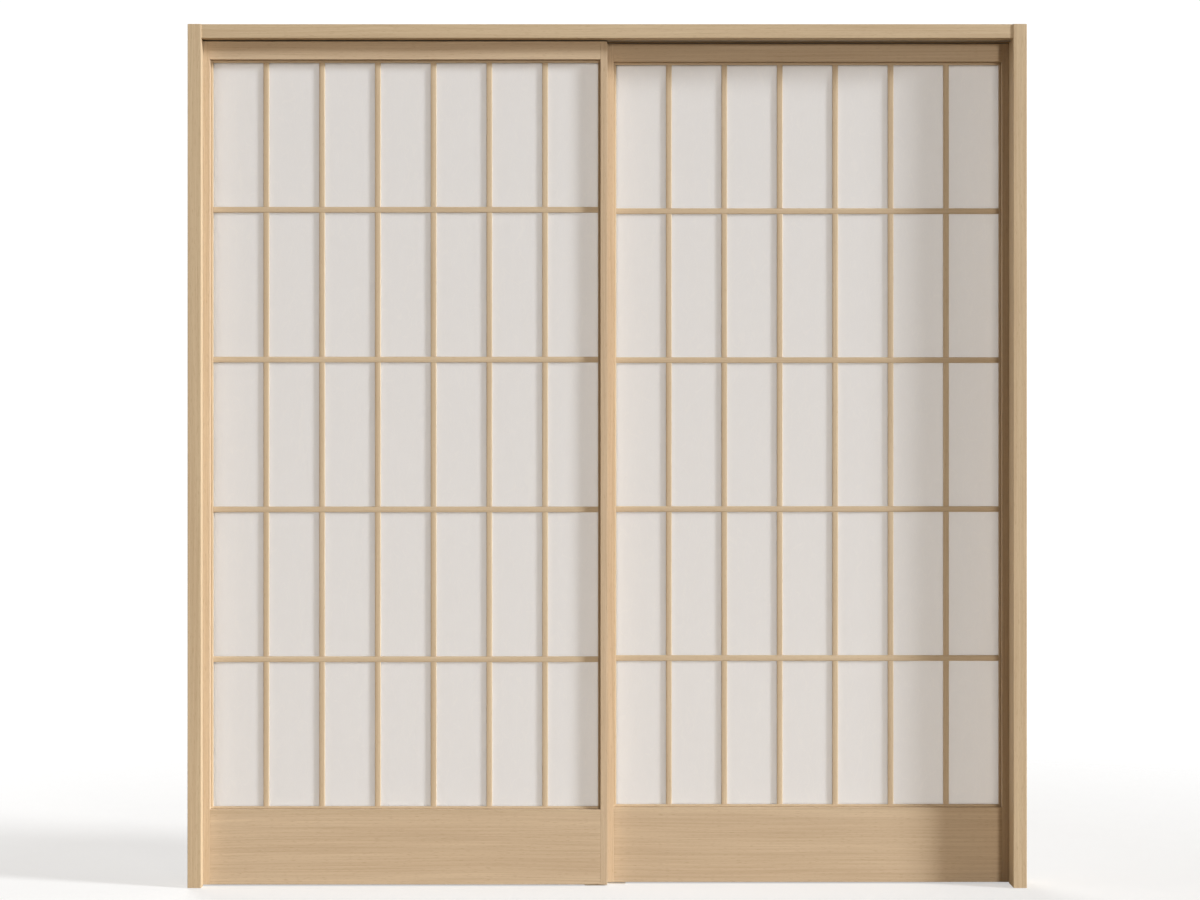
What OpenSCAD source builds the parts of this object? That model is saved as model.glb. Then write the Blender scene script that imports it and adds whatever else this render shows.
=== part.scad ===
// Pair of sliding paper screens (shoji) hung in a three-sided timber frame.
// Millimetres. X runs across the frame, Y from front to back and Z up.
// The origin is on the floor, at the middle of the frame's footprint.
// The left door runs in the front track and the right door in the rear one.

/* [Frame] */
// Overall width across the jambs
frame_w = 2040; // [1900:10:2200]
// Overall height to the top of the head
frame_h = 2100; // [2000:10:2300]
// Thickness of each jamb
jamb_t = 33; // [30:1:45]
// Depth of each jamb from front to back
jamb_d = 147; // [140:1:180]
// Thickness of the head
head_t = 34; // [32:1:45]
// How far the head's faces lie behind the faces of the jambs
head_setback = 3; // [1:0.5:6]
// Width of the groove in each jamb that takes a door's outer stile
jamb_groove_w = 38; // [37:0.5:39]
// Depth of that groove, and how far the head's ends are let into the jambs
jamb_groove_d = 12; // [11:1:15]

/* [Doors] */
// Thickness of each door
door_t = 35; // [34:1:36]
// Gap between the two doors
door_gap = 5; // [4:0.5:6]
// Gap under each door
floor_gap = 3; // [3:0.5:6]
// Gap over each door
head_gap = 3; // [2:0.5:4]
// Visible width of every stile
stile_face = 16.5; // [16:0.5:30]
// How far each outer stile reaches into its jamb
jamb_lap = 10; // [5:1:10]
// How far the rear door runs on behind the front door
meeting_lap = 10; // [5:1:12]
// Height of each top rail
top_rail_h = 44; // [40:1:60]
// Height of each bottom board
board_h = 183; // [150:1:300]
// How far each door slides
travel = 940; // [600:5:940]

/* [Lattice and sheet] */
// Cells across each door
columns = 7; // [4:1:8]
// Cells up each door
rows = 5; // [3:1:5]
// Width of a lattice bar's face
bar_w = 14; // [10:1:16]
// Thickness of the bars and of the border strips
bar_t = 6; // [5:0.5:7]
// Width of a border strip's face
border_w = 6; // [5:0.5:8]
// How far the lattice lies behind the door's front face
lattice_setback = 17; // [16.5:0.5:18]
// Thickness of the laminated paper sheet
sheet_t = 3; // [1:0.5:3]
// How far the rebate for the sheet is cut into the door's members
rebate_w = 5; // [4:0.5:6]
// Thickness of the beads that hold the sheet
bead_t = 8; // [6:0.5:8]

/* [Tracks and trolleys] */
// Outside width of a track
track_w = 24; // [24:0.5:26]
// Height of a track
track_h = 20; // [20:0.5:21]
// Wall thickness of a track
track_wall = 1.8; // [1.5:0.1:1.8]
// Width of the slot along a track's underside
track_slot = 10; // [9.6:0.1:10]
// Radius of a trolley's wheels
wheel_r = 6; // [5.5:0.1:6]
// Distance from each end of a door to its trolley
trolley_inset = 90; // [60:5:150]
// Length of a stop block in a track
stop_l = 14; // [10:1:20]

/* [Floor guide and screws] */
// Thickness of a guide fin
fin_t = 7; // [6:0.5:8]
// Height of a guide fin above the floor
fin_h = 13.5; // [10:0.5:13.5]
// Length of a guide fin
fin_l = 38; // [30:1:38]
// Screws in each track
track_screws_each = 6; // [4:1:8]

/* [Hidden] */
LEFT = -1;
RIGHT = 1;
cut = 1; // how far a cutting shape runs past the face that it opens

// Frame and doors
clear_w = frame_w - 2 * jamb_t;
soffit_z = frame_h - head_t;
head_d = jamb_d - 2 * head_setback;
head_l = clear_w + 2 * jamb_groove_d;
door_y = (door_t + door_gap) / 2;
door_x = clear_w / 4;
door_z0 = floor_gap;
door_z1 = soffit_z - head_gap;
open_w = clear_w / 2 - 2 * stile_face;
open_z0 = door_z0 + board_h;
open_z1 = door_z1 - top_rail_h;

// Joints between the door's members
tenon_l = 10;
tenon_t = 10;
rail_tenon_z = [open_z1 + 7, door_z1 - 7];
board_tenons_z = [[door_z0 + 32, door_z0 + 72], [open_z0 - 71, open_z0 - 31]];

// Lattice, sheet and beads, as distances from the door's middle plane
lattice_y0 = -door_t / 2 + lattice_setback;
sheet_y0 = lattice_y0 + bar_t;
bead_y0 = sheet_y0 + sheet_t;
half_lap_y = lattice_y0 + bar_t / 2;
inner_w = open_w - 2 * border_w;
inner_z0 = open_z0 + border_w;
inner_z1 = open_z1 - border_w;
cell_w = (inner_w - (columns - 1) * bar_w) / columns;
cell_h = (inner_z1 - inner_z0 - (rows - 1) * bar_w) / rows;
tongue_l = 3;
sheet_play = 0.5;

// Guide groove along the bottom edge of a door
guide_groove_w = 11;
guide_groove_h = 13;

// Tracks
track_play = 0.3;
track_inside_w = track_w - 2 * track_wall;
track_roof_z = soffit_z + track_h - track_wall;

// Trolleys: a carriage between two wheels, hung on one axle
axle_r = 1.5;
axle_z = soffit_z + track_wall + track_play + wheel_r;
carriage_l = 26;
carriage_w = 8;
carriage_z0 = soffit_z + 3;
carriage_z1 = soffit_z + 14;
neck_l = 14;
neck_z0 = soffit_z - 9;
wheel_y0 = carriage_w / 2 + 0.5;
wheel_w = 4;
wheel_bore_r = axle_r + 0.05;
rivet_r = 2.6;
rivet_t = 0.8;
stop_play = 0.5;

// Hanger bolts and the sockets that hold them
bolt_r = 2.5;
socket_l = 40;
socket_w = 20;
socket_h = 20;
socket_z0 = door_z1 - 33;
bolt_z0 = socket_z0 + 4;
bolt_z1 = neck_z0 + 10;
hex_z0 = socket_z0 + socket_h + 1;
hex_h = 4;
hex_across_corners = 9.2;

// Screws
track_screw_r = 1.75;
track_screw_l = 12;
corner_screw_r = 2.25;
corner_screw_l = 60;
corner_screw_y = 50;

// Floor guide
guide_base_t = 1.5;
guide_x0 = -55;
guide_x1 = 45;
guide_d = 64;
guide_lap = 8; // how far each half of the guide's stepped base reaches past the middle
fin_chamfer = 2;
front_fin_x = -50;
rear_fin_x = 2;

// Colours
jamb_colour = "#C1AB89";
door_colour = "#C9B08E";
lattice_colour = "#C6A77C";
paper_colour = "#DDD9D6";
aluminium = "#B4B7BA";
steel = "#8F9296";
nylon = "#E4E1D8";

DOOR_PIECES = [
    "outer_stile", "meeting_stile", "top_rail", "bottom_faces", "bottom_core", "lattice_border",
    "paper_sheet", "back_beads", "carriages", "axles", "hanger_bolts", "hanger_sockets",
    "outer_wheels", "inner_wheels"
];

// Ends of a door in X: the left door stops at the middle, the right one runs on behind it.
function door_x0(side) = side == LEFT ? -clear_w / 2 - jamb_lap : -meeting_lap;
function door_x1(side) = side == LEFT ? 0 : clear_w / 2 + jamb_lap;

// Places of a door's trolleys in X: the outer one is beside its jamb.
function outer_trolley_x(side) =
    side == LEFT ? door_x0(side) + trolley_inset : door_x1(side) - trolley_inset;
function inner_trolley_x(side) =
    side == LEFT ? door_x1(side) - trolley_inset : door_x0(side) + trolley_inset;
function trolleys_x(side) = [outer_trolley_x(side), inner_trolley_x(side)];

// Middles of the lattice bars, counted from the left and from the bottom.
function bar_x(i) = -inner_w / 2 + i * cell_w + (i - 0.5) * bar_w;
function bar_z(j) = inner_z0 + j * cell_h + (j - 0.5) * bar_w;

function track_screw_x(k) = ((k + 0.5) / track_screws_each - 0.5) * clear_w;

module block(low, high) {
    translate(low) cube(high - low);
}

// A piece drawn for the +X end, or mirrored to the other end.
module at_end(end) {
    mirror([end == LEFT ? 1 : 0, 0, 0]) children();
}

// A piece drawn about the middle of a door's own opening, moved to its door.
module on_door(side) {
    translate([side * door_x, side * door_y, 0]) children();
}

// Countersunk wood screw pointing up, with its flat head's face at z = 0.
module wood_screw(r, length) {
    rotate_extrude($fn = 48)
        polygon([[0, 0], [2 * r, 0], [r, r], [r, length - 2 * r], [0.3 * r, length], [0, length]]);
}

module all_track_screws() {
    for (side = [LEFT, RIGHT], k = [0 : track_screws_each - 1])
        translate([track_screw_x(k), side * door_y, track_roof_z])
            wood_screw(track_screw_r, track_screw_l);
}

module all_corner_screws() {
    for (end = [LEFT, RIGHT], y = [-corner_screw_y, corner_screw_y])
        at_end(end)
            translate([frame_w / 2, y, soffit_z + head_t / 2])
                rotate([0, -90, 0])
                    wood_screw(corner_screw_r, corner_screw_l);
}

// The space over one door that its track and the web over the track fill.
module track_bay(side, z0, z1, length) {
    block([-length / 2, side * door_y - track_w / 2, z0], [length / 2, side * door_y + track_w / 2, z1]);
}

// Head rails: three square-edged rails side by side, which form two grooves for the tracks.
module head_rails() {
    color(jamb_colour)
    difference() {
        block([-head_l / 2, -head_d / 2, soffit_z], [head_l / 2, head_d / 2, frame_h]);
        for (side = [LEFT, RIGHT])
            track_bay(side, soffit_z - cut, frame_h + cut, head_l + 2 * cut);
        all_corner_screws();
    }
}

// Head webs: thin boards glued between the rails, with the tracks screwed up to them.
module head_webs() {
    color(jamb_colour)
    difference() {
        for (side = [LEFT, RIGHT])
            track_bay(side, soffit_z + track_h, frame_h, head_l);
        all_track_screws();
    }
}

// The part of a jamb that lies behind its groove, or the groove as well.
module jamb_bay(side, x0, x1, z0, z1) {
    at_end(side)
        block([x0, side * door_y - jamb_groove_w / 2, z0], [x1, side * door_y + jamb_groove_w / 2, z1]);
}

// Jamb posts: the full thickness of a jamb in front of its groove and behind it.
module jamb_posts(side) {
    color(jamb_colour)
    difference() {
        at_end(side)
            block([clear_w / 2, -jamb_d / 2, 0], [frame_w / 2, jamb_d / 2, frame_h]);
        at_end(side)
            block([clear_w / 2 - cut, -head_d / 2, soffit_z], [head_l / 2, head_d / 2, frame_h + cut]);
        jamb_bay(side, clear_w / 2 - cut, frame_w / 2 + cut, -cut, frame_h + cut);
        all_corner_screws();
    }
}

// Jamb webs: in each jamb, the thinner board glued between the posts, at the bottom of the groove.
module jamb_webs() {
    color(jamb_colour)
    for (side = [LEFT, RIGHT])
        jamb_bay(side, clear_w / 2 + jamb_groove_d, frame_w / 2, 0, frame_h);
}

// Tracks: two extruded channels, slotted along their undersides, as their roofs, sides and lips.
module track_roofs() {
    color(aluminium)
    difference() {
        for (side = [LEFT, RIGHT])
            track_bay(side, track_roof_z, soffit_z + track_h, clear_w);
        all_track_screws();
    }
}

// Two strips along each track, between two distances from its middle plane.
module track_strips(y0, y1, z0, z1) {
    color(aluminium)
    for (side = [LEFT, RIGHT])
        translate([0, side * door_y, 0])
            for (flank = [LEFT, RIGHT])
                mirror([0, flank == LEFT ? 1 : 0, 0])
                    block([-clear_w / 2, y0, z0], [clear_w / 2, y1, z1]);
}

module track_sides() {
    track_strips(track_inside_w / 2, track_w / 2, soffit_z, track_roof_z);
}

module track_lips() {
    track_strips(track_slot / 2, track_inside_w / 2, soffit_z, soffit_z + track_wall);
}

module track_screws() {
    color(steel) all_track_screws();
}

module corner_screws() {
    color(steel) all_corner_screws();
}

// Stops: two blocks in each track, one beyond each end of its door's travel.
module track_stops() {
    reach = carriage_l / 2 + stop_play;
    color(nylon)
    for (side = [LEFT, RIGHT])
        at_end(side)
            for (x = [abs(outer_trolley_x(side)) + reach,
                      abs(inner_trolley_x(side)) - travel - reach - stop_l])
                block([x, side * door_y - track_inside_w / 2, soffit_z + track_wall],
                      [x + stop_l, side * door_y + track_inside_w / 2, track_roof_z]);
}

// Floor guide: one moulding stuck to the floor, with a fin in each door's guide groove.
// Its base is stepped so that each half stays under its own door.
module floor_guide() {
    color(nylon)
    union() {
        block([guide_x0, -guide_d / 2, 0], [0, guide_lap, guide_base_t]);
        block([-meeting_lap, -guide_lap, 0], [guide_x1, guide_d / 2, guide_base_t]);
        guide_fin(LEFT, front_fin_x);
        guide_fin(RIGHT, rear_fin_x);
    }
}

module guide_fin(side, x0) {
    translate([x0, side * door_y, 0])
        linear_extrude(fin_h)
            polygon([
                [0, -fin_t / 2 + fin_chamfer], [fin_chamfer, -fin_t / 2],
                [fin_l - fin_chamfer, -fin_t / 2], [fin_l, -fin_t / 2 + fin_chamfer],
                [fin_l, fin_t / 2 - fin_chamfer], [fin_l - fin_chamfer, fin_t / 2],
                [fin_chamfer, fin_t / 2], [0, fin_t / 2 - fin_chamfer]
            ]);
}

// Tenons at both ends of a door's cross member.
module tenons(heights) {
    for (z = heights)
        block([-open_w / 2 - tenon_l, -tenon_t / 2, z[0]], [open_w / 2 + tenon_l, tenon_t / 2, z[1]]);
}

// Rebate all round the back of a door's opening, for the sheet and its beads.
module rebate() {
    block([-open_w / 2 - rebate_w, sheet_y0, open_z0 - rebate_w],
          [open_w / 2 + rebate_w, door_t / 2 + cut, open_z1 + rebate_w]);
}

// Groove along a door's bottom edge, for a fin of the floor guide.
module guide_groove() {
    block([-clear_w / 2, -guide_groove_w / 2, door_z0 - cut],
          [clear_w / 2, guide_groove_w / 2, door_z0 + guide_groove_h]);
}

module stile(side, end, width) {
    color(door_colour)
    on_door(side)
    difference() {
        at_end(end)
            block([open_w / 2, -door_t / 2, door_z0], [open_w / 2 + width, door_t / 2, door_z1]);
        rebate();
        tenons(concat([rail_tenon_z], board_tenons_z));
        guide_groove();
    }
}

// Outer stile: the upright that closes into the jamb's groove.
module outer_stile(side) {
    stile(side, side, stile_face + jamb_lap);
}

// Meeting stile: the upright at the middle, wider on the rear door.
module meeting_stile(side) {
    stile(side, -side, side == LEFT ? stile_face : stile_face + meeting_lap);
}

// Top rail: tenoned into the stiles, with a pocket for each hanger socket.
module top_rail(side) {
    color(door_colour)
    difference() {
        on_door(side)
        difference() {
            union() {
                block([-open_w / 2, -door_t / 2, open_z1], [open_w / 2, door_t / 2, door_z1]);
                tenons([rail_tenon_z]);
            }
            rebate();
        }
        for (x = trolleys_x(side))
            block([x - socket_l / 2, side * door_y - socket_w / 2, socket_z0],
                  [x + socket_l / 2, side * door_y + socket_w / 2, door_z1 + cut]);
    }
}

// Bottom faces: a front and a rear board, which form the board that is seen below the lattice.
module bottom_faces(side) {
    color(door_colour)
    on_door(side)
    difference() {
        block([-open_w / 2, -door_t / 2, door_z0], [open_w / 2, door_t / 2, open_z0]);
        block([-open_w / 2 - cut, -guide_groove_w / 2, door_z0 - cut],
              [open_w / 2 + cut, guide_groove_w / 2, open_z0 + cut]);
        rebate();
    }
}

// Bottom core: the board glued between them. It is tenoned, and stops short to leave the guide groove.
module bottom_core(side) {
    color(door_colour)
    on_door(side)
    difference() {
        union() {
            block([-open_w / 2, -guide_groove_w / 2, door_z0 + guide_groove_h],
                  [open_w / 2, guide_groove_w / 2, open_z0]);
            tenons(board_tenons_z);
        }
        rebate();
    }
}

// Space of one upright bar, with a tongue on the back half of each end.
module vertical_bar_outline(i) {
    block([bar_x(i) - bar_w / 2, lattice_y0, inner_z0], [bar_x(i) + bar_w / 2, sheet_y0, inner_z1]);
    block([bar_x(i) - bar_w / 2, half_lap_y, inner_z0 - tongue_l],
          [bar_x(i) + bar_w / 2, sheet_y0, inner_z1 + tongue_l]);
}

module horizontal_bar_outline(j) {
    block([-inner_w / 2, lattice_y0, bar_z(j) - bar_w / 2], [inner_w / 2, sheet_y0, bar_z(j) + bar_w / 2]);
    block([-inner_w / 2 - tongue_l, half_lap_y, bar_z(j) - bar_w / 2],
          [inner_w / 2 + tongue_l, sheet_y0, bar_z(j) + bar_w / 2]);
}

// Upright bar: halved on its front where each level bar crosses it.
module vertical_bar(side, i) {
    color(lattice_colour)
    on_door(side)
    difference() {
        vertical_bar_outline(i);
        for (j = [1 : rows - 1])
            block([bar_x(i) - bar_w / 2 - cut, lattice_y0 - cut, bar_z(j) - bar_w / 2],
                  [bar_x(i) + bar_w / 2 + cut, half_lap_y, bar_z(j) + bar_w / 2]);
    }
}

// Level bar: halved on its back where each upright bar crosses it.
module horizontal_bar(side, j) {
    color(lattice_colour)
    on_door(side)
    difference() {
        horizontal_bar_outline(j);
        for (i = [1 : columns - 1])
            block([bar_x(i) - bar_w / 2, half_lap_y, bar_z(j) - bar_w / 2 - cut],
                  [bar_x(i) + bar_w / 2, sheet_y0 + cut, bar_z(j) + bar_w / 2 + cut]);
    }
}

// Border: four strips round the lattice, notched for the bars' tongues.
module lattice_border(side) {
    color(lattice_colour)
    on_door(side)
    difference() {
        union() {
            for (z = [open_z0, inner_z1])
                block([-open_w / 2, lattice_y0, z], [open_w / 2, sheet_y0, z + border_w]);
            for (x = [-open_w / 2, inner_w / 2])
                block([x, lattice_y0, inner_z0], [x + border_w, sheet_y0, inner_z1]);
        }
        for (i = [1 : columns - 1])
            vertical_bar_outline(i);
        for (j = [1 : rows - 1])
            horizontal_bar_outline(j);
    }
}

// Paper sheet: stiff laminated paper that lies in the rebate behind the lattice.
module paper_sheet(side) {
    edge = rebate_w - sheet_play;
    color(paper_colour)
    on_door(side)
        block([-open_w / 2 - edge, sheet_y0, open_z0 - edge],
              [open_w / 2 + edge, bead_y0, open_z1 + edge]);
}

// Back beads: four strips pinned into the rebate over the sheet.
module back_beads(side) {
    outer_w = open_w + 2 * rebate_w;
    color(door_colour)
    on_door(side) {
        for (z = [[open_z0 - rebate_w, inner_z0], [inner_z1, open_z1 + rebate_w]])
            block([-outer_w / 2, bead_y0, z[0]], [outer_w / 2, bead_y0 + bead_t, z[1]]);
        for (end = [LEFT, RIGHT])
            at_end(end)
                block([inner_w / 2, bead_y0, inner_z0], [outer_w / 2, bead_y0 + bead_t, inner_z1]);
    }
}

// Places for a door's two trolleys, with the axle's middle at the origin in X and Y.
module at_trolleys(side) {
    for (x = trolleys_x(side))
        translate([x, side * door_y, 0]) children();
}

// Cylinder across a track, centred on the axle's line.
module across(r, width) {
    translate([0, 0, axle_z])
        rotate([90, 0, 0])
            cylinder(r = r, h = width, center = true, $fn = 48);
}

// Carriage: a block between the wheels, with a neck through the track's slot.
module carriages(side) {
    color(steel)
    at_trolleys(side)
        difference() {
            union() {
                block([-carriage_l / 2, -carriage_w / 2, carriage_z0],
                      [carriage_l / 2, carriage_w / 2, carriage_z1]);
                block([-neck_l / 2, -carriage_w / 2, neck_z0],
                      [neck_l / 2, carriage_w / 2, carriage_z0 + cut]);
            }
            across(axle_r, carriage_w + 2 * cut);
            translate([0, 0, neck_z0 - cut])
                cylinder(r = bolt_r, h = bolt_z1 - neck_z0 + cut, $fn = 48);
        }
}

// Axle: a pin through the carriage, riveted over outside each wheel.
module axles(side) {
    pin_w = 2 * (wheel_y0 + wheel_w + 0.2);
    color(steel)
    at_trolleys(side)
        union() {
            across(axle_r, pin_w);
            for (y = [-(pin_w + rivet_t) / 2, (pin_w + rivet_t) / 2])
                translate([0, y, 0]) across(rivet_r, rivet_t);
        }
}

// Wheels: two on one axle, one on each side of the carriage.
module wheels(side, x) {
    color(nylon)
    translate([x, side * door_y, axle_z])
        for (end = [LEFT, RIGHT])
            rotate([90, 0, 0])
                translate([0, 0, end == LEFT ? wheel_y0 : -wheel_y0 - wheel_w])
                    rotate_extrude($fn = 64)
                        polygon([
                            [wheel_bore_r, 0], [wheel_r - 0.5, 0], [wheel_r, 0.5],
                            [wheel_r, wheel_w - 0.5], [wheel_r - 0.5, wheel_w], [wheel_bore_r, wheel_w]
                        ]);
}

// Hanger bolt: a stud with a hexagon for setting the door's height.
module hanger_bolts(side) {
    color(steel)
    at_trolleys(side)
        union() {
            translate([0, 0, bolt_z0]) cylinder(r = bolt_r, h = bolt_z1 - bolt_z0, $fn = 48);
            translate([0, 0, hex_z0]) cylinder(d = hex_across_corners, h = hex_h, $fn = 6);
        }
}

// Hanger socket: a threaded block let into the top rail.
module hanger_sockets(side) {
    color(steel)
    at_trolleys(side)
        difference() {
            block([-socket_l / 2, -socket_w / 2, socket_z0],
                  [socket_l / 2, socket_w / 2, socket_z0 + socket_h]);
            translate([0, 0, socket_z0 - cut]) cylinder(r = bolt_r, h = socket_h + 2 * cut, $fn = 48);
        }
}

head_rails();
head_webs();
jamb_posts(LEFT);  // left_jamb_posts
jamb_posts(RIGHT);  // right_jamb_posts
jamb_webs();
track_roofs();
track_sides();
track_lips();
track_stops();
track_screws();
corner_screws();
floor_guide();

for (side = [LEFT, RIGHT]) {
    door = side == LEFT ? "left_" : "right_";
    outer_stile(side);
    meeting_stile(side);
    top_rail(side);
    bottom_faces(side);
    bottom_core(side);
    lattice_border(side);
    paper_sheet(side);
    back_beads(side);
    carriages(side);
    axles(side);
    hanger_bolts(side);
    hanger_sockets(side);
    wheels(side, outer_trolley_x(side));
    wheels(side, inner_trolley_x(side));
    for (i = [1 : columns - 1])
        vertical_bar(side, i);
    for (j = [1 : rows - 1])
        horizontal_bar(side, j);
}
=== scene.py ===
"""Pair of sliding paper screens in their timber frame, built up in the order a joiner would fit them."""
import math

import bmesh
import bpy
from mathutils import Matrix, Vector


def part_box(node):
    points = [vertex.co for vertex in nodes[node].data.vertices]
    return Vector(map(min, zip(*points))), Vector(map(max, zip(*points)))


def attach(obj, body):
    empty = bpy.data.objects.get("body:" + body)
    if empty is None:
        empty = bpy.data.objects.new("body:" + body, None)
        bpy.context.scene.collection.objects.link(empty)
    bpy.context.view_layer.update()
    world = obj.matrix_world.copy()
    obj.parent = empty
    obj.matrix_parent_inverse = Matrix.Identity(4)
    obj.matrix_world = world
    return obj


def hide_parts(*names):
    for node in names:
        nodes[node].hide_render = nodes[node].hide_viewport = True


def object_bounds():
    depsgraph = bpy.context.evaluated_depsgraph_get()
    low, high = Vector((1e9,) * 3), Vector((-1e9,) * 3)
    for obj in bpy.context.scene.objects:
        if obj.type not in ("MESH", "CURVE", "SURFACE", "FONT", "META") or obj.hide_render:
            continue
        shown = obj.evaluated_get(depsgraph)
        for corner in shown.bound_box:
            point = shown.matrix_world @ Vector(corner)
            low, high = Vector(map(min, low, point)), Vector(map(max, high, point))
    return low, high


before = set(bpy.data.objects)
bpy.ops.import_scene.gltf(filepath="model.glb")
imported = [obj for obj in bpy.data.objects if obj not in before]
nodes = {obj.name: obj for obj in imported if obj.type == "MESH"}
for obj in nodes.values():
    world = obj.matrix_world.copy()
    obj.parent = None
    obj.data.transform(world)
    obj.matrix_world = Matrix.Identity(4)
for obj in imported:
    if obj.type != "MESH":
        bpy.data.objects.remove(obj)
cad_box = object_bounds()


# ---------------------------------------------------------------------------------------------
# Jambs: pale, straight-grained hardwood, planed and oiled. In each, a thinner web is glued between
# two posts, which leaves a groove for a door's outer stile, and the top is housed for the head.
# Their long arrises are taken off with a block plane, so no edge is sharp.
# ---------------------------------------------------------------------------------------------
def place(tree, kind, inputs=None, **settings):
    """Adds a node to a tree, with its settings, and fills each input with a value or a link."""
    made = tree.nodes.new(kind)
    for name, value in settings.items():
        setattr(made, name, value)
    for name, value in (inputs or {}).items():
        if isinstance(value, bpy.types.NodeSocket):
            tree.links.new(value, made.inputs[name])
        else:
            made.inputs[name].default_value = value
    return made


def maths(tree, operation, first, second=0.0, third=0.0):
    """One Math node's result; the third value only counts in MULTIPLY_ADD."""
    return place(tree, "ShaderNodeMath", {0: first, 1: second, 2: third}, operation=operation).outputs[0]


def vector(tree, **parts):
    """A vector put together from its X, Y and Z; those not given are zero."""
    return place(tree, "ShaderNodeCombineXYZ", parts).outputs[0]


def noise(tree, at, scale, detail, roughness=0.5):
    """Smooth noise from 0 to 1 at the given place."""
    return place(tree, "ShaderNodeTexNoise", {"Vector": at, "Scale": scale, "Detail": detail,
                                              "Roughness": roughness}).outputs["Fac"]


def blend_colour(tree, factor, under, over):
    """One colour laid over another."""
    mixed = place(tree, "ShaderNodeMix", data_type="RGBA")
    for socket, value in ((mixed.inputs[0], factor), (mixed.inputs[6], under), (mixed.inputs[7], over)):
        if isinstance(value, bpy.types.NodeSocket):
            tree.links.new(value, socket)
        else:
            socket.default_value = value
    return mixed.outputs[2]


def stretch_range(tree, value, low, high, to_low=0.0, to_high=1.0):
    """A value's range mapped to another one and clamped."""
    return place(tree, "ShaderNodeMapRange", {"Value": value, "From Min": low, "From Max": high,
                                              "To Min": to_low, "To Max": to_high}).outputs["Result"]


def new_material(name):
    """A material, with its tree and its surface shader."""
    made = bpy.data.materials.new(name)
    made.use_nodes = True
    return made, made.node_tree, made.node_tree.nodes["Principled BSDF"]


def shaded_spot(tree):
    """Where the point being shaded lies on its piece."""
    return place(tree, "ShaderNodeTexCoord").outputs["Object"]


def raise_relief(tree, surface, height, strength, depth):
    """Fine relief on a surface, depth metres deep."""
    bump = place(tree, "ShaderNodeBump", {"Height": height, "Strength": strength, "Distance": depth})
    tree.links.new(bump.outputs["Normal"], surface.inputs["Normal"])


def new_group(name, inputs, outputs):
    """An empty shader node group with named float sockets."""
    tree = bpy.data.node_groups.new(name, "ShaderNodeTree")
    for socket, value in inputs.items():
        made = tree.interface.new_socket(socket, in_out="INPUT", socket_type="NodeSocketFloat")
        made.default_value = value
    for socket in outputs:
        tree.interface.new_socket(socket, in_out="OUTPUT", socket_type="NodeSocketFloat")
    return tree, tree.nodes.new("NodeGroupInput").outputs, tree.nodes.new("NodeGroupOutput").inputs


def straight_grain():
    """Grain that runs along Z, or along X where Turn is 1: broad bands, fine streaks and short pores."""
    tree, given, out = new_group(
        "straight_grain",
        {"Turn": 0.0, "Seed": 0.0, "Band Width": 0.03, "Streak Width": 0.0032, "Pore Width": 0.0011},
        ("Bands", "Streaks", "Pores"))
    spot = shaded_spot(tree)
    axes = place(tree, "ShaderNodeSeparateXYZ", {0: spot}).outputs
    along = place(tree, "ShaderNodeMix", {0: given["Turn"], 2: axes["Z"], 3: axes["X"]}).outputs[0]
    across = place(tree, "ShaderNodeMix", {0: given["Turn"], 2: axes["X"], 3: axes["Z"]}).outputs[0]
    drift_at = vector(tree, X=maths(tree, "MULTIPLY", given["Seed"], 3.1),
                      Y=maths(tree, "MULTIPLY", across, 2.0), Z=along)
    bent = maths(tree, "MULTIPLY_ADD", noise(tree, drift_at, 1.4, 1.0), 0.02, across)

    def layer(width, length, depth, detail, roughness):
        """Noise that is width wide across the grain and far longer along it."""
        scale = maths(tree, "DIVIDE", 1.0, width)
        at = vector(tree, X=maths(tree, "ADD", maths(tree, "MULTIPLY", bent, scale), given["Seed"]),
                    Y=maths(tree, "MULTIPLY", maths(tree, "MULTIPLY", axes["Y"], scale), depth),
                    Z=maths(tree, "ADD", maths(tree, "DIVIDE", along, length), given["Seed"]))
        return noise(tree, at, 1.0, detail, roughness)

    bands = layer(given["Band Width"], 1.1, 0.5, 2.0, 0.5)
    streaks = layer(given["Streak Width"], 0.32, 0.5, 4.0, 0.62)
    pores = layer(given["Pore Width"], 0.016, 0.8, 1.0, 0.4)
    tree.links.new(stretch_range(tree, bands, 0.30, 0.70), out["Bands"])
    tree.links.new(stretch_range(tree, streaks, 0.33, 0.67), out["Streaks"])
    tree.links.new(stretch_range(tree, pores, 0.60, 0.72), out["Pores"])
    return tree


GRAIN = straight_grain()
# How much of a board's tone comes from its streaks; its bands give the rest
STREAK_SHARE = 0.60
# Edges shorter than this stay sharp: the ends of strips, tenons and housings
SHORTEST_ARRIS = 0.06


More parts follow.
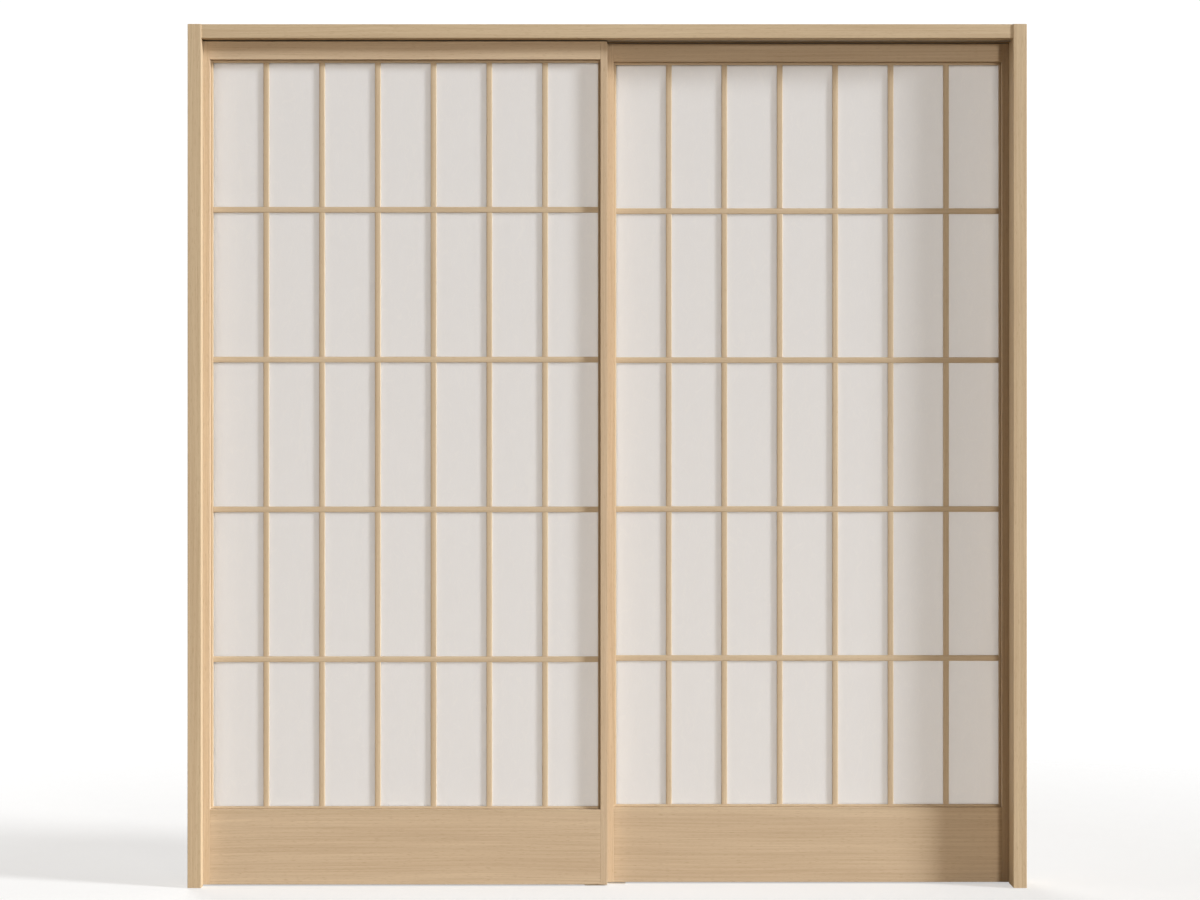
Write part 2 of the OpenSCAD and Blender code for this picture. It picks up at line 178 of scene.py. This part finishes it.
def oiled_wood(name, pale, deep, pore_colour):
    """Oiled hardwood: bands between two tones, fine streaks, open pores, and a low satin sheen."""
    made, tree, surface = new_material(name)
    grain = place(tree, "ShaderNodeGroup", node_tree=GRAIN)
    for socket, attribute in (("Turn", "grain_turn"), ("Seed", "board_seed")):
        read = place(tree, "ShaderNodeAttribute", attribute_name=attribute)
        tree.links.new(read.outputs["Fac"], grain.inputs[socket])
    bands, streaks, pores = (grain.outputs[name] for name in ("Bands", "Streaks", "Pores"))
    tone = maths(tree, "MULTIPLY_ADD", streaks, STREAK_SHARE,
                 maths(tree, "MULTIPLY", bands, 1 - STREAK_SHARE))
    colour = blend_colour(tree, tone, (*pale, 1), (*deep, 1))
    colour = blend_colour(tree, maths(tree, "MULTIPLY", pores, 0.35), colour, (*pore_colour, 1))
    tree.links.new(colour, surface.inputs["Base Color"])
    rough = maths(tree, "MULTIPLY_ADD", pores, 0.15, stretch_range(tree, streaks, 0.0, 1.0, 0.50, 0.62))
    tree.links.new(rough, surface.inputs["Roughness"])
    surface.inputs["Specular IOR Level"].default_value = 0.45
    raise_relief(tree, surface, maths(tree, "MULTIPLY_ADD", pores, -0.7, streaks), 0.30, 0.0003)
    return made


def mark_grain(mesh, turn, seed):
    """Stores which way a board's grain runs and how far its pattern is shifted."""
    for name, value in (("grain_turn", turn), ("board_seed", seed)):
        attribute = mesh.attributes.new(name, "FLOAT", "POINT")
        attribute.data.foreach_set("value", [value] * len(mesh.vertices))


def finished_board(node, body, material, turn, seed, ease):
    """A CAD board with its long outer edges rounded over, standing in for the plain one."""
    shape = bmesh.new()
    shape.from_mesh(nodes[node].data)
    bmesh.ops.remove_doubles(shape, verts=shape.verts, dist=1e-6)
    bmesh.ops.dissolve_limit(shape, angle_limit=math.radians(1), verts=shape.verts, edges=shape.edges)
    arrises = [edge for edge in shape.edges
               if len(edge.link_faces) == 2 and edge.is_convex and edge.calc_length() > SHORTEST_ARRIS
               and edge.calc_face_angle() > math.radians(60)]
    bmesh.ops.bevel(shape, geom=arrises, offset=ease, segments=3, profile=0.5, affect="EDGES",
                    clamp_overlap=False)
    mesh = bpy.data.meshes.new(node + "_board")
    shape.to_mesh(mesh)
    shape.free()
    mark_grain(mesh, turn, seed)
    mesh.materials.append(material)
    board = bpy.data.objects.new(node + "_board", mesh)
    bpy.context.scene.collection.objects.link(board)
    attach(board, body)
    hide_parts(node)
    return board


UPRIGHT, LEVEL = 0.0, 1.0
frame_wood = oiled_wood("frame_wood", pale=(0.683, 0.548, 0.368), deep=(0.528, 0.393, 0.248),
                        pore_colour=(0.400, 0.270, 0.150))
JAMB_EASE, HEAD_EASE, WEB_EASE = 0.0015, 0.0012, 0.0003
JAMB_BOARDS = {"left_jamb_posts": (3.7, JAMB_EASE), "right_jamb_posts": (11.2, JAMB_EASE),
               "jamb_webs": (15.9, WEB_EASE)}
for node, (seed, ease) in JAMB_BOARDS.items():
    finished_board(node, "frame", frame_wood, UPRIGHT, seed, ease)


# ---------------------------------------------------------------------------------------------
# Head: three rails of the same wood with two thin webs glued between them, which leaves grooves
# for the tracks. It is let into the jambs a little behind their faces and screwed through them.
# ---------------------------------------------------------------------------------------------
HEAD_BOARDS = {"head_rails": (19.4, HEAD_EASE), "head_webs": (23.8, WEB_EASE)}
for node, (seed, ease) in HEAD_BOARDS.items():
    finished_board(node, "frame", frame_wood, LEVEL, seed, ease)


# ---------------------------------------------------------------------------------------------
# Tracks: two thin extrusions of anodised aluminium, slotted along their undersides, with the
# faint lines that the die leaves along them. They are screwed up into the head's webs.
# ---------------------------------------------------------------------------------------------
def anodised_aluminium():
    """Satin metal with die lines along X."""
    made, tree, surface = new_material("anodised_aluminium")
    spot = shaded_spot(tree)
    drawn = place(tree, "ShaderNodeMapping", {"Vector": spot, "Scale": (4.0, 2600.0, 2600.0)})
    lines = noise(tree, drawn.outputs[0], 1.0, 2.0)
    colour = blend_colour(tree, lines, (0.56, 0.57, 0.58, 1), (0.70, 0.71, 0.72, 1))
    tree.links.new(colour, surface.inputs["Base Color"])
    tree.links.new(stretch_range(tree, lines, 0.3, 0.7, 0.28, 0.46), surface.inputs["Roughness"])
    surface.inputs["Metallic"].default_value = 1.0
    raise_relief(tree, surface, lines, 0.15, 0.0001)
    return made


def finish_nodes(names, material):
    """Gives CAD pieces that keep their own shape their real finish."""
    for name in names:
        nodes[name].data.materials.clear()
        nodes[name].data.materials.append(material)


finish_nodes(["track_roofs", "track_sides", "track_lips"], anodised_aluminium())


# ---------------------------------------------------------------------------------------------
# Screws: zinc-plated countersunk wood screws with a cross recess. Four go through the jambs
# into the head's ends, and twelve hold the tracks up into the head.
# ---------------------------------------------------------------------------------------------
def zinc_plate():
    """Bright zinc with a cloudy, uneven passivation."""
    made, tree, surface = new_material("zinc_plate")
    spot = shaded_spot(tree)
    cloud = noise(tree, spot, 260.0, 3.0)
    colour = blend_colour(tree, cloud, (0.44, 0.46, 0.49, 1), (0.62, 0.61, 0.58, 1))
    tree.links.new(colour, surface.inputs["Base Color"])
    tree.links.new(stretch_range(tree, cloud, 0.3, 0.7, 0.30, 0.50), surface.inputs["Roughness"])
    surface.inputs["Metallic"].default_value = 1.0
    return made


def new_geometry_tree(name, inputs):
    """An empty Geometry Nodes tree with named inputs, each a (socket type, default) pair."""
    tree = bpy.data.node_groups.new(name, "GeometryNodeTree")
    tree.interface.new_socket("Geometry", in_out="OUTPUT", socket_type="NodeSocketGeometry")
    for socket, (kind, value) in inputs.items():
        made = tree.interface.new_socket(socket, in_out="INPUT", socket_type="NodeSocket" + kind)
        if value is not None:
            made.default_value = value
    return tree, tree.nodes.new("NodeGroupInput").outputs, tree.nodes.new("NodeGroupOutput").inputs[0]


def grown(name, tree, values, moved=Matrix.Identity(4)):
    """The plain mesh that a Geometry Nodes tree makes with these inputs, put where it belongs."""
    seed_object = bpy.data.objects.new(name + "_source", bpy.data.meshes.new(name + "_source"))
    bpy.context.scene.collection.objects.link(seed_object)
    modifier = seed_object.modifiers.new("grow", "NODES")
    modifier.node_group = tree
    for item in tree.interface.items_tree:
        if item.in_out == "INPUT" and item.name in values:
            modifier[item.identifier] = values[item.name]
    bpy.context.view_layer.update()
    graph = bpy.context.evaluated_depsgraph_get()
    mesh = bpy.data.meshes.new_from_object(seed_object.evaluated_get(graph))
    bpy.data.objects.remove(seed_object)
    mesh.name = name
    mesh.transform(moved)
    piece = bpy.data.objects.new(name, mesh)
    bpy.context.scene.collection.objects.link(piece)
    return piece


def moved_shape(tree, geometry, **how):
    """Geometry given a Translation or a Rotation."""
    return place(tree, "GeometryNodeTransform", {"Geometry": geometry, **how}).outputs[0]


# A wood screw's proportions, each as a multiple of the radius of its thread
HEAD_FLARE, SHANK_START, SHANK_BODY = 1.96, 0.9, 0.97
POINT_LENGTH, POINT_TIP = 2.0, 0.25
RECESS_SPAN, RECESS_WIDTH, RECESS_HEIGHT = 2.1, 0.42, 1.2


def screw_row():
    """A row of countersunk screws along X, pointing up: head, cross recess, shank and point."""
    tree, given, out = new_geometry_tree("screw_row", {
        "Count": ("Int", 1), "Pitch": ("Float", 0.1), "Start": ("Vector", None), "Radius": ("Float", 0.002),
        "Length": ("Float", 0.012), "Finish": ("Material", None)})
    radius, length = given["Radius"], given["Length"]

    def radii(multiple):
        return maths(tree, "MULTIPLY", radius, multiple)

    shank_from = radii(SHANK_START)
    shank_length = maths(tree, "SUBTRACT", length, radii(SHANK_START + POINT_LENGTH))
    head = place(tree, "GeometryNodeMeshCone", {"Vertices": 32, "Radius Top": radius, "Depth": radius,
                                                "Radius Bottom": radii(HEAD_FLARE)})
    shank = place(tree, "GeometryNodeMeshCylinder", {"Vertices": 24, "Depth": shank_length,
                                                     "Radius": radii(SHANK_BODY)})
    shank_middle = maths(tree, "ADD", shank_from, maths(tree, "DIVIDE", shank_length, 2.0))
    shank = moved_shape(tree, shank.outputs["Mesh"], Translation=vector(tree, Z=shank_middle))
    point = place(tree, "GeometryNodeMeshCone", {"Vertices": 24, "Depth": radii(POINT_LENGTH),
                                                 "Radius Bottom": radii(SHANK_BODY),
                                                 "Radius Top": radii(POINT_TIP)})
    point_from = maths(tree, "ADD", shank_from, shank_length)
    point = moved_shape(tree, point.outputs["Mesh"], Translation=vector(tree, Z=point_from))
    arm_size = vector(tree, X=radii(RECESS_SPAN), Y=radii(RECESS_WIDTH), Z=radii(RECESS_HEIGHT))
    arm = place(tree, "GeometryNodeMeshCube", {"Size": arm_size}).outputs["Mesh"]
    arms = [moved_shape(tree, arm, Rotation=(0.0, 0.0, turn)) for turn in (0.0, math.pi / 2)]
    recessed = place(tree, "GeometryNodeMeshBoolean", operation="DIFFERENCE", solver="EXACT")
    tree.links.new(head.outputs["Mesh"], recessed.inputs["Mesh 1"])
    for arm in arms:
        tree.links.new(arm, recessed.inputs["Mesh 2"])
    whole = place(tree, "GeometryNodeMeshBoolean", operation="UNION", solver="EXACT")
    for part in (recessed.outputs["Mesh"], shank, point):
        tree.links.new(part, whole.inputs["Mesh 2"])
    row = place(tree, "GeometryNodeMeshLine", {"Count": given["Count"], "Start Location": given["Start"],
                                               "Offset": vector(tree, X=given["Pitch"])})
    placed = place(tree, "GeometryNodeInstanceOnPoints", {"Points": row.outputs["Mesh"],
                                                          "Instance": whole.outputs["Mesh"]})
    real = place(tree, "GeometryNodeRealizeInstances", {"Geometry": placed.outputs["Instances"]})
    dressed = place(tree, "GeometryNodeSetMaterial", {"Geometry": real.outputs[0],
                                                      "Material": given["Finish"]})
    tree.links.new(dressed.outputs[0], out)
    return tree


def merge(name, parts):
    """Several meshes of one body joined into one piece."""
    bpy.ops.object.select_all(action="DESELECT")
    for part in parts:
        part.select_set(True)
    bpy.context.view_layer.objects.active = parts[0]
    bpy.ops.object.join()
    parts[0].name = parts[0].data.name = name
    return parts[0]


zinc = zinc_plate()
SCREWS = screw_row()
# Keeps each screw's head just inside the face that it is flush with
HAIR = 0.00001
TRACK_SCREW_RADIUS, TRACK_SCREW_LENGTH, TRACK_SCREW_COUNT = 0.00175, 0.012, 6
head_radius = 2 * TRACK_SCREW_RADIUS
low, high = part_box("track_screws")
pitch = (high.x - low.x - 2 * head_radius) / (TRACK_SCREW_COUNT - 1)
track_rows = []
for row_y in (low.y + head_radius, high.y - head_radius):
    start = Vector((low.x + head_radius, row_y, low.z + HAIR))
    track_rows.append(grown(f"track_screws_{len(track_rows)}", SCREWS, {
        "Count": TRACK_SCREW_COUNT, "Pitch": pitch, "Start": start, "Radius": TRACK_SCREW_RADIUS,
        "Length": TRACK_SCREW_LENGTH, "Finish": zinc}))
track_screws = merge("track_screw_set", track_rows)
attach(track_screws, "frame")
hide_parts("track_screws")

CORNER_SCREW_RADIUS, CORNER_SCREW_LENGTH = 0.00225, 0.060
low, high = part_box("corner_screws")
corner_rows = []
for end in (-1, 1):
    face = high.x - HAIR if end > 0 else low.x + HAIR
    turn = Matrix.Rotation(math.radians(-90 * end), 4, "Y") @ Matrix.Rotation(math.radians(90), 4, "Z")
    place_at = Matrix.Translation((face, (low.y + high.y) / 2, (low.z + high.z) / 2))
    spread = high.y - low.y - 4 * CORNER_SCREW_RADIUS
    corner_rows.append(grown(f"corner_screws_{end}", SCREWS, {
        "Count": 2, "Pitch": spread, "Start": Vector((-spread / 2, 0, 0)), "Radius": CORNER_SCREW_RADIUS,
        "Length": CORNER_SCREW_LENGTH, "Finish": zinc}, place_at @ turn))
corner_screws = merge("corner_screw_set", corner_rows)
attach(corner_screws, "frame")
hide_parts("corner_screws")


# ---------------------------------------------------------------------------------------------
# Door frames: stiles, top rails and bottom boards of slightly lighter wood than the frame.
# Each bottom board is two faces glued to a core, and it and the rail are tenoned into the stiles.
# ---------------------------------------------------------------------------------------------
door_wood = oiled_wood("door_wood", pale=(0.695, 0.553, 0.388), deep=(0.540, 0.402, 0.264),
                       pore_colour=(0.410, 0.275, 0.155))
SIDES = ("left", "right")
# How far the right door's grain is shifted from the left door's
OTHER_DOOR = 31.7
DOOR_EASE = 0.0008
DOOR_MEMBERS = {"outer_stile": (UPRIGHT, 27.3), "meeting_stile": (UPRIGHT, 35.9),
                "top_rail": (LEVEL, 43.1), "bottom_faces": (LEVEL, 52.6), "bottom_core": (LEVEL, 58.2)}
for side_index, side in enumerate(SIDES):
    for member, (turn, seed) in DOOR_MEMBERS.items():
        finished_board(f"{side}_{member}", side + "_door", door_wood, turn,
                       seed + OTHER_DOOR * side_index, DOOR_EASE)


# ---------------------------------------------------------------------------------------------
# Lattices: thin planed bars halved over each other inside a border of narrow strips. The level
# bars run through on the front, and the upright ones show between them. Glued, not pinned.
# ---------------------------------------------------------------------------------------------
# Each bar's grain is shifted by up to this much, so no two bars look cut from one place
SEED_SPREAD = 90.0


def lattice_tree():
    """Bars and border of one lattice, facing -Y, about the middle of its opening."""
    tree, given, out = new_geometry_tree("lattice", {
        "Opening Width": ("Float", 0.954), "Opening Height": ("Float", 1.833), "Columns": ("Int", 7),
        "Rows": ("Int", 5), "Bar Width": ("Float", 0.014), "Border Width": ("Float", 0.006),
        "Thickness": ("Float", 0.006), "Ease": ("Float", 0.001), "Seed": ("Int", 1),
        "Wood": ("Material", None)})

    def inside(opening):
        return maths(tree, "SUBTRACT", given[opening], maths(tree, "MULTIPLY", given["Border Width"], 2.0))

    inner_width, inner_height = inside("Opening Width"), inside("Opening Height")

    def pitch_of(inner, cells):
        return maths(tree, "DIVIDE", maths(tree, "ADD", inner, given["Bar Width"]), cells)

    pitch_x, pitch_z = pitch_of(inner_width, given["Columns"]), pitch_of(inner_height, given["Rows"])

    def bar(width, length, level):
        """A planed bar with rounded corners, along X if level or along Z if not."""
        section = place(tree, "GeometryNodeCurvePrimitiveQuadrilateral",
                        {"Width": given["Thickness"], "Height": width}, mode="RECTANGLE")
        rounded = place(tree, "GeometryNodeFilletCurve",
                        {"Curve": section.outputs[0], "Radius": given["Ease"], "Count": 3,
                         "Limit Radius": True}, mode="POLY")
        half = maths(tree, "DIVIDE", length, 2.0)
        path = place(tree, "GeometryNodeCurvePrimitiveLine", {
            "Start": vector(tree, Z=maths(tree, "MULTIPLY", half, -1.0)), "End": vector(tree, Z=half)})
        solid = place(tree, "GeometryNodeCurveToMesh", {
            "Curve": path.outputs[0], "Profile Curve": rounded.outputs[0], "Fill Caps": True})
        upright = moved_shape(tree, solid.outputs[0], Rotation=(0.0, 0.0, math.pi / 2))
        return moved_shape(tree, upright, Rotation=(0.0, math.pi / 2, 0.0)) if level else upright

    def repeated(points, shape, level, salt):
        """A bar at each point, each with its own piece of grain."""
        placed = place(tree, "GeometryNodeInstanceOnPoints", {"Points": points, "Instance": shape})
        where = place(tree, "ShaderNodeSeparateXYZ",
                      {0: place(tree, "GeometryNodeInputPosition").outputs[0]})
        millimetres = maths(tree, "MULTIPLY", where.outputs["Z"] if level else where.outputs["X"], 1000.0)
        pick = place(tree, "FunctionNodeRandomValue", {
            "ID": maths(tree, "ROUND", millimetres), "Seed": maths(tree, "ADD", given["Seed"], salt)},
            data_type="FLOAT")
        pick.inputs["Min"].default_value = 0.0
        pick.inputs[3].default_value = SEED_SPREAD
        shape_list = placed.outputs[0]
        for name, value in (("board_seed", pick.outputs[1]), ("grain_turn", LEVEL if level else UPRIGHT)):
            shape_list = place(tree, "GeometryNodeStoreNamedAttribute",
                               {"Geometry": shape_list, "Name": name, "Value": value},
                               data_type="FLOAT", domain="INSTANCE").outputs[0]
        return shape_list

    def line(axis, count, step):
        """Points in a row along X or Z, centred on the opening."""
        half_back = maths(tree, "DIVIDE", step, -2.0)
        first = maths(tree, "MULTIPLY", maths(tree, "SUBTRACT", count, 1), half_back)
        return place(tree, "GeometryNodeMeshLine", {
            "Count": count, "Start Location": vector(tree, **{axis: first}),
            "Offset": vector(tree, **{axis: step})}).outputs[0]

    level_points = line("Z", maths(tree, "SUBTRACT", given["Rows"], 1), pitch_z)
    cells = place(tree, "GeometryNodeMeshGrid", {
        "Size X": maths(tree, "MULTIPLY", pitch_x, maths(tree, "SUBTRACT", given["Columns"], 2)),
        "Size Y": maths(tree, "MULTIPLY", pitch_z, maths(tree, "SUBTRACT", given["Rows"], 1)),
        "Vertices X": maths(tree, "SUBTRACT", given["Columns"], 1), "Vertices Y": given["Rows"]})
    upright_points = moved_shape(tree, cells.outputs["Mesh"], Rotation=(math.pi / 2, 0.0, 0.0))
    upright_length = maths(tree, "SUBTRACT", pitch_z, given["Bar Width"])

    def strip_points(axis, opening):
        return line(axis, 2, maths(tree, "SUBTRACT", given[opening], given["Border Width"]))

    joined = place(tree, "GeometryNodeJoinGeometry")
    for part in (
            repeated(level_points, bar(given["Bar Width"], inner_width, True), True, 1),
            repeated(upright_points, bar(given["Bar Width"], upright_length, False), False, 2),
            repeated(strip_points("Z", "Opening Height"),
                     bar(given["Border Width"], given["Opening Width"], True), True, 3),
            repeated(strip_points("X", "Opening Width"),
                     bar(given["Border Width"], inner_height, False), False, 4)):
        tree.links.new(part, joined.inputs[0])
    real = place(tree, "GeometryNodeRealizeInstances", {"Geometry": joined.outputs[0]})
    dressed = place(tree, "GeometryNodeSetMaterial", {"Geometry": real.outputs[0],
                                                      "Material": given["Wood"]})
    tree.links.new(dressed.outputs[0], out)
    return tree


lattice_wood = oiled_wood("lattice_wood", pale=(0.702, 0.572, 0.405), deep=(0.560, 0.430, 0.288),
                          pore_colour=(0.430, 0.280, 0.150))
COLUMNS, ROWS, LATTICE_EASE = 7, 5, 0.0014
LATTICE = lattice_tree()
for side_index, side in enumerate(SIDES):
    low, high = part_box(side + "_lattice_border")
    bar_low, bar_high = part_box(side + "_vertical_bar_1")
    strip_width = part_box(side + "_horizontal_bar_1")[0].x - low.x
    tongue = bar_low.z - low.z
    lattice = grown(side + "_lattice", LATTICE, {
        "Opening Width": high.x - low.x, "Opening Height": high.z - low.z, "Columns": COLUMNS, "Rows": ROWS,
        "Bar Width": bar_high.x - bar_low.x, "Border Width": 2 * tongue, "Thickness": high.y - low.y,
        "Ease": LATTICE_EASE, "Seed": 5 + side_index, "Wood": lattice_wood},
        Matrix.Translation((low + high) / 2))
    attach(lattice, side + "_door")
    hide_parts(side + "_lattice_border",
                *[f"{side}_vertical_bar_{i}" for i in range(1, COLUMNS)],
                *[f"{side}_horizontal_bar_{j}" for j in range(1, ROWS)])


# ---------------------------------------------------------------------------------------------
# Paper sheets: stiff laminated mulberry paper, off-white and matt, with faint long fibres in
# it. Each lies in the rebate behind its lattice, under the back beads.
# ---------------------------------------------------------------------------------------------
def laminated_paper():
    """Matt paper with pale fibres that wander, and a cloudy formation."""
    made, tree, surface = new_material("laminated_paper")
    spot = shaded_spot(tree)
    cloud = noise(tree, spot, 38.0, 4.0, 0.6)
    colour = blend_colour(tree, cloud, (0.728, 0.737, 0.780, 1), (0.752, 0.763, 0.808, 1))
    fibres = 0.0
    for scale, turn in ((58.0, 0.4), (66.0, 2.0)):
        bend = place(tree, "ShaderNodeTexNoise", {"Vector": spot, "Scale": scale * 0.5, "Detail": 2.0})
        wander = place(tree, "ShaderNodeVectorMath", {0: bend.outputs["Color"], "Scale": 0.035},
                       operation="SCALE")
        moved = place(tree, "ShaderNodeVectorMath", {0: spot, 1: wander.outputs[0]}, operation="ADD")
        turned = place(tree, "ShaderNodeMapping", {"Vector": moved.outputs[0], "Rotation": (0.0, turn, 0.0),
                                                   "Scale": (scale, 1.0, scale * 0.11)})
        cells = place(tree, "ShaderNodeTexVoronoi", {"Vector": turned.outputs[0], "Scale": 1.0},
                      feature="DISTANCE_TO_EDGE")
        strand = stretch_range(tree, cells.outputs["Distance"], 0.0, 0.022, 1.0, 0.0)
        fibres = maths(tree, "MAXIMUM", fibres, strand)
    fibre_cover = maths(tree, "MULTIPLY", fibres, 0.22)
    colour = blend_colour(tree, fibre_cover, colour, (0.828, 0.824, 0.835, 1))
    tree.links.new(colour, surface.inputs["Base Color"])
    tree.links.new(stretch_range(tree, cloud, 0.2, 0.8, 0.78, 0.92), surface.inputs["Roughness"])
    surface.inputs["Specular IOR Level"].default_value = 0.2
    surface.inputs["Subsurface Weight"].default_value = 1.0
    surface.inputs["Subsurface Radius"].default_value = (1.0, 1.0, 1.0)
    surface.inputs["Subsurface Scale"].default_value = 0.02
    raise_relief(tree, surface, cloud, 0.10, 0.0002)
    return made


finish_nodes([side + "_paper_sheet" for side in SIDES], laminated_paper())


# ---------------------------------------------------------------------------------------------
# Back beads: four narrow strips of the lattice's wood that lie over the sheet's edge and hold
# it in the rebate. They butt at the corners, with the side strips between the level ones.
# ---------------------------------------------------------------------------------------------
BEAD_SEED, BEAD_EASE = 61.0, 0.0012
# Nearer than this to the border's top or bottom edge, a bead's grain runs level
LEVEL_BEAD_DEPTH = 0.0055
for side_index, side in enumerate(SIDES):
    beads = finished_board(side + "_back_beads", side + "_door", lattice_wood, UPRIGHT,
                           BEAD_SEED + 7 * side_index, BEAD_EASE)
    turns = [UPRIGHT] * len(beads.data.vertices)
    edge_low, edge_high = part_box(side + "_lattice_border")
    for vertex in beads.data.vertices:
        depth_in = min(vertex.co.z - edge_low.z, edge_high.z - vertex.co.z)
        if depth_in < LEVEL_BEAD_DEPTH:
            turns[vertex.index] = LEVEL
    beads.data.attributes["grain_turn"].data.foreach_set("value", turns)


# ---------------------------------------------------------------------------------------------
# Running gear: nylon wheels on riveted axles carry a zinc-plated carriage in each track. Its
# stud hangs the door from a socket let into the top rail. The nylon stops and floor guide
# keep the doors in their place.
# ---------------------------------------------------------------------------------------------
def moulded_nylon():
    """Off-white nylon with a fine moulded texture."""
    made, tree, surface = new_material("moulded_nylon")
    spot = shaded_spot(tree)
    spark = noise(tree, spot, 1800.0, 2.0)
    colour = blend_colour(tree, noise(tree, spot, 60.0, 2.0), (0.74, 0.72, 0.66, 1), (0.80, 0.78, 0.73, 1))
    tree.links.new(colour, surface.inputs["Base Color"])
    tree.links.new(stretch_range(tree, spark, 0.3, 0.7, 0.42, 0.58), surface.inputs["Roughness"])
    raise_relief(tree, surface, spark, 0.2, 0.0001)
    return made


METAL_GEAR = ("carriages", "axles", "hanger_bolts", "hanger_sockets")
WHEELS = ("outer_wheels", "inner_wheels")
finish_nodes([f"{side}_{piece}" for side in SIDES for piece in METAL_GEAR], zinc)
finish_nodes([f"{side}_{piece}" for side in SIDES for piece in WHEELS] + ["track_stops", "floor_guide"],
             moulded_nylon())


# ---------------------------------------------------------------------------------------------
# Setting: a pale floor that fades out into a white surround, a broad key light low on the
# right, weaker ones from the front, the left and behind, and a camera square on to the frame.
# ---------------------------------------------------------------------------------------------
FLOOR_RADIUS, FADE_FROM, FADE_TO, FLOOR_DROP = 5.0, 1.6, 4.0, 0.0005
floor_shape = bmesh.new()
bmesh.ops.create_circle(floor_shape, cap_ends=True, segments=96, radius=FLOOR_RADIUS)
floor_mesh = bpy.data.meshes.new("studio_floor")
floor_shape.to_mesh(floor_mesh)
floor_shape.free()
floor_mesh.transform(Matrix.Translation((0, 0, -FLOOR_DROP)))
floor = bpy.data.objects.new("studio_floor", floor_mesh)
bpy.context.scene.collection.objects.link(floor)
pale_floor, tree, surface = new_material("pale_floor")
spot = shaded_spot(tree)
mottle = noise(tree, spot, 9.0, 5.0)
seen = place(tree, "ShaderNodeLightPath").outputs["Is Camera Ray"]
pale = blend_colour(tree, mottle, (0.44, 0.44, 0.435, 1), (0.47, 0.47, 0.465, 1))
# The floor looks pale to the camera, but the colour it bounces is a warm tint that stands in for warm fill
# light in the frame's shaded undersides and recesses
tree.links.new(blend_colour(tree, seen, (0.34, 0.26, 0.17, 1), pale), surface.inputs["Base Color"])
surface.inputs["Emission Color"].default_value = (1.0, 1.0, 1.0, 1)
tree.links.new(maths(tree, "MULTIPLY", seen, 0.52), surface.inputs["Emission Strength"])
surface.inputs["Roughness"].default_value = 0.9
away = place(tree, "ShaderNodeVectorMath", {0: spot}, operation="LENGTH").outputs["Value"]
tree.links.new(stretch_range(tree, away, FADE_FROM, FADE_TO, 1.0, 0.0), surface.inputs["Alpha"])
floor_mesh.materials.append(pale_floor)

surround = bpy.data.worlds.new("white_surround")
bpy.context.scene.world = surround
surround.use_nodes = True
tree = surround.node_tree
backdrop = tree.nodes["Background"]
seen = place(tree, "ShaderNodeLightPath").outputs["Is Camera Ray"]
AMBIENT_COLOUR, AMBIENT_STRENGTH, SEEN_STRENGTH = (1.0, 0.81, 0.62, 1), 0.135, 1.05
tree.links.new(blend_colour(tree, seen, AMBIENT_COLOUR, (1.0, 1.0, 1.0, 1)), backdrop.inputs["Color"])
tree.links.new(stretch_range(tree, seen, 0.0, 1.0, AMBIENT_STRENGTH, SEEN_STRENGTH),
               backdrop.inputs["Strength"])


def sun(name, towards, strength, softness, colour):
    """A distant light from the given direction; softness is its angular width in degrees."""
    data = bpy.data.lights.new(name, "SUN")
    data.energy = strength
    data.angle = math.radians(softness)
    data.color = colour
    lamp = bpy.data.objects.new(name, data)
    lamp.rotation_euler = Vector(towards).to_track_quat("Z", "Y").to_euler()
    bpy.context.scene.collection.objects.link(lamp)


sun("key_light", (2.7, -1.0, 0.95), 4.0, 11.0, (0.98, 1.0, 1.02))
sun("front_light", (0.35, -1.0, 0.10), 0.86, 7.0, (1.0, 0.91, 0.79))
sun("left_light", (-1.0, -0.12, 0.15), 0.9, 40.0, (1.0, 0.97, 0.92))
sun("back_light", (-0.3, 1.0, 0.35), 1.6, 30.0, (1.0, 1.0, 1.0))

VIEW_DISTANCE, EYE_HEIGHT, EYE_SHIFT, LENS = 6.8, 1.0645, -0.0176, 83.95
camera_data = bpy.data.cameras.new("square_on")
camera_data.sensor_width = 36.0
camera_data.lens = LENS
camera = bpy.data.objects.new("square_on", camera_data)
camera.location = (EYE_SHIFT, cad_box[0][1] - VIEW_DISTANCE, EYE_HEIGHT)
camera.rotation_euler = (math.pi / 2, 0.0, 0.0)
bpy.context.scene.collection.objects.link(camera)
bpy.context.scene.camera = camera
bpy.context.scene.view_settings.view_transform = "Standard"
